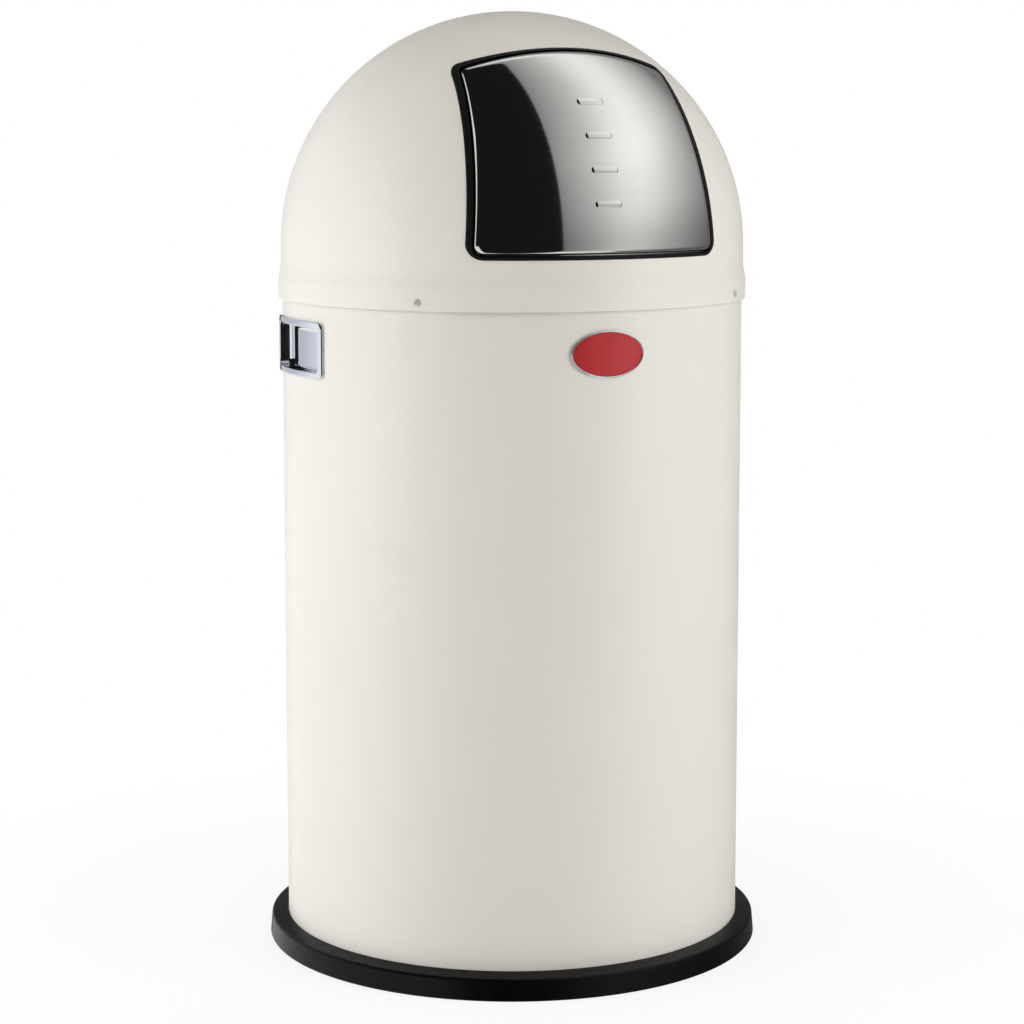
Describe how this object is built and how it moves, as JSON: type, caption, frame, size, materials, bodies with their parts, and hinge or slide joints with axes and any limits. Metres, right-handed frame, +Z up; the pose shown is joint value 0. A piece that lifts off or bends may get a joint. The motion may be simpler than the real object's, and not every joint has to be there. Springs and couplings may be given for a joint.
{
  "type": "push-lid waste bin",
  "caption": "Round steel drum bin with a lift-off dome lid, a sprung push flap, recessed side grips, a base ring and a bucket liner with a wire bail.",
  "frame": {"origin": "floor level on the drum's axis", "axes": "+Z up, -Y towards the front where the flap faces, +X to the right seen from the front"},
  "size_m": [0.4019, 0.402, 0.755],
  "materials": {
    "coated_steel": "off-white powder coat, satin",
    "black_plastic": "moulded, satin black",
    "chrome_plate": "bright chrome plate on a casting",
    "red_enamel": "red enamel with a bright edge",
    "stainless": "polished stainless sheet",
    "edge_rubber": "black rubber channel",
    "spring_steel": "bright spring steel",
    "zinc_steel": "zinc-plated steel",
    "nylon": "moulded nylon, natural",
    "galvanised": "galvanised sheet with spangle"
  },
  "bodies": {
    "bin": {"body_shell": "coated_steel", "base_plate": "galvanised", "base_ring": "black_plastic", "left_grip": "chrome_plate", "right_grip": "chrome_plate", "left_grip_clip": "spring_steel", "right_grip_clip": "spring_steel", "front_badge": "red_enamel", "badge_clips": "spring_steel"},
    "lid": {"dome_shell": "coated_steel", "opening_trim": "edge_rubber", "left_hinge_bracket": "zinc_steel", "right_hinge_bracket": "zinc_steel", "hinge_axle": "zinc_steel", "axle_clips": "spring_steel", "left_flap_spring": "spring_steel", "right_flap_spring": "spring_steel", "rim_guides": "nylon", "guide_screws": "zinc_steel"},
    "flap": {"flap_panel": "stainless", "left_flap_ear": "zinc_steel", "right_flap_ear": "zinc_steel", "left_ear_bush": "nylon", "right_ear_bush": "nylon"},
    "liner": {"liner_wall": "galvanised", "liner_floor": "galvanised", "liner_lugs": "galvanised", "lug_rivets": "galvanised"},
    "bail": {"liner_bail": "galvanised"}
  },
  "joints": [
    {"name": "lid_lift", "type": "slide", "parent": "bin", "child": "lid", "axis": [0, 0, 1], "range_m": [0, 0.8]},
    {"name": "flap_swing", "type": "hinge", "parent": "lid", "child": "flap", "pos_m": [0, -0.07491, 0.71502], "axis": [1, 0, 0], "range_deg": [0, 60], "stiffness_Nm_per_rad": 0.6, "springref_deg": -57.3, "deforming": ["left_flap_spring", "right_flap_spring"]},
    {"name": "liner_lift", "type": "slide", "parent": "bin", "child": "liner", "axis": [0, 0, 1], "range_m": [0, 0.52]},
    {"name": "bail_swing", "type": "hinge", "parent": "liner", "child": "bail", "pos_m": [0, 0, 0.5108], "axis": [1, 0, 0], "range_deg": [0, 180]}
  ],
  "couplings": [
    {"joint": "liner_lift", "follows": "lid_lift", "ratio": 0.65}
  ]
}
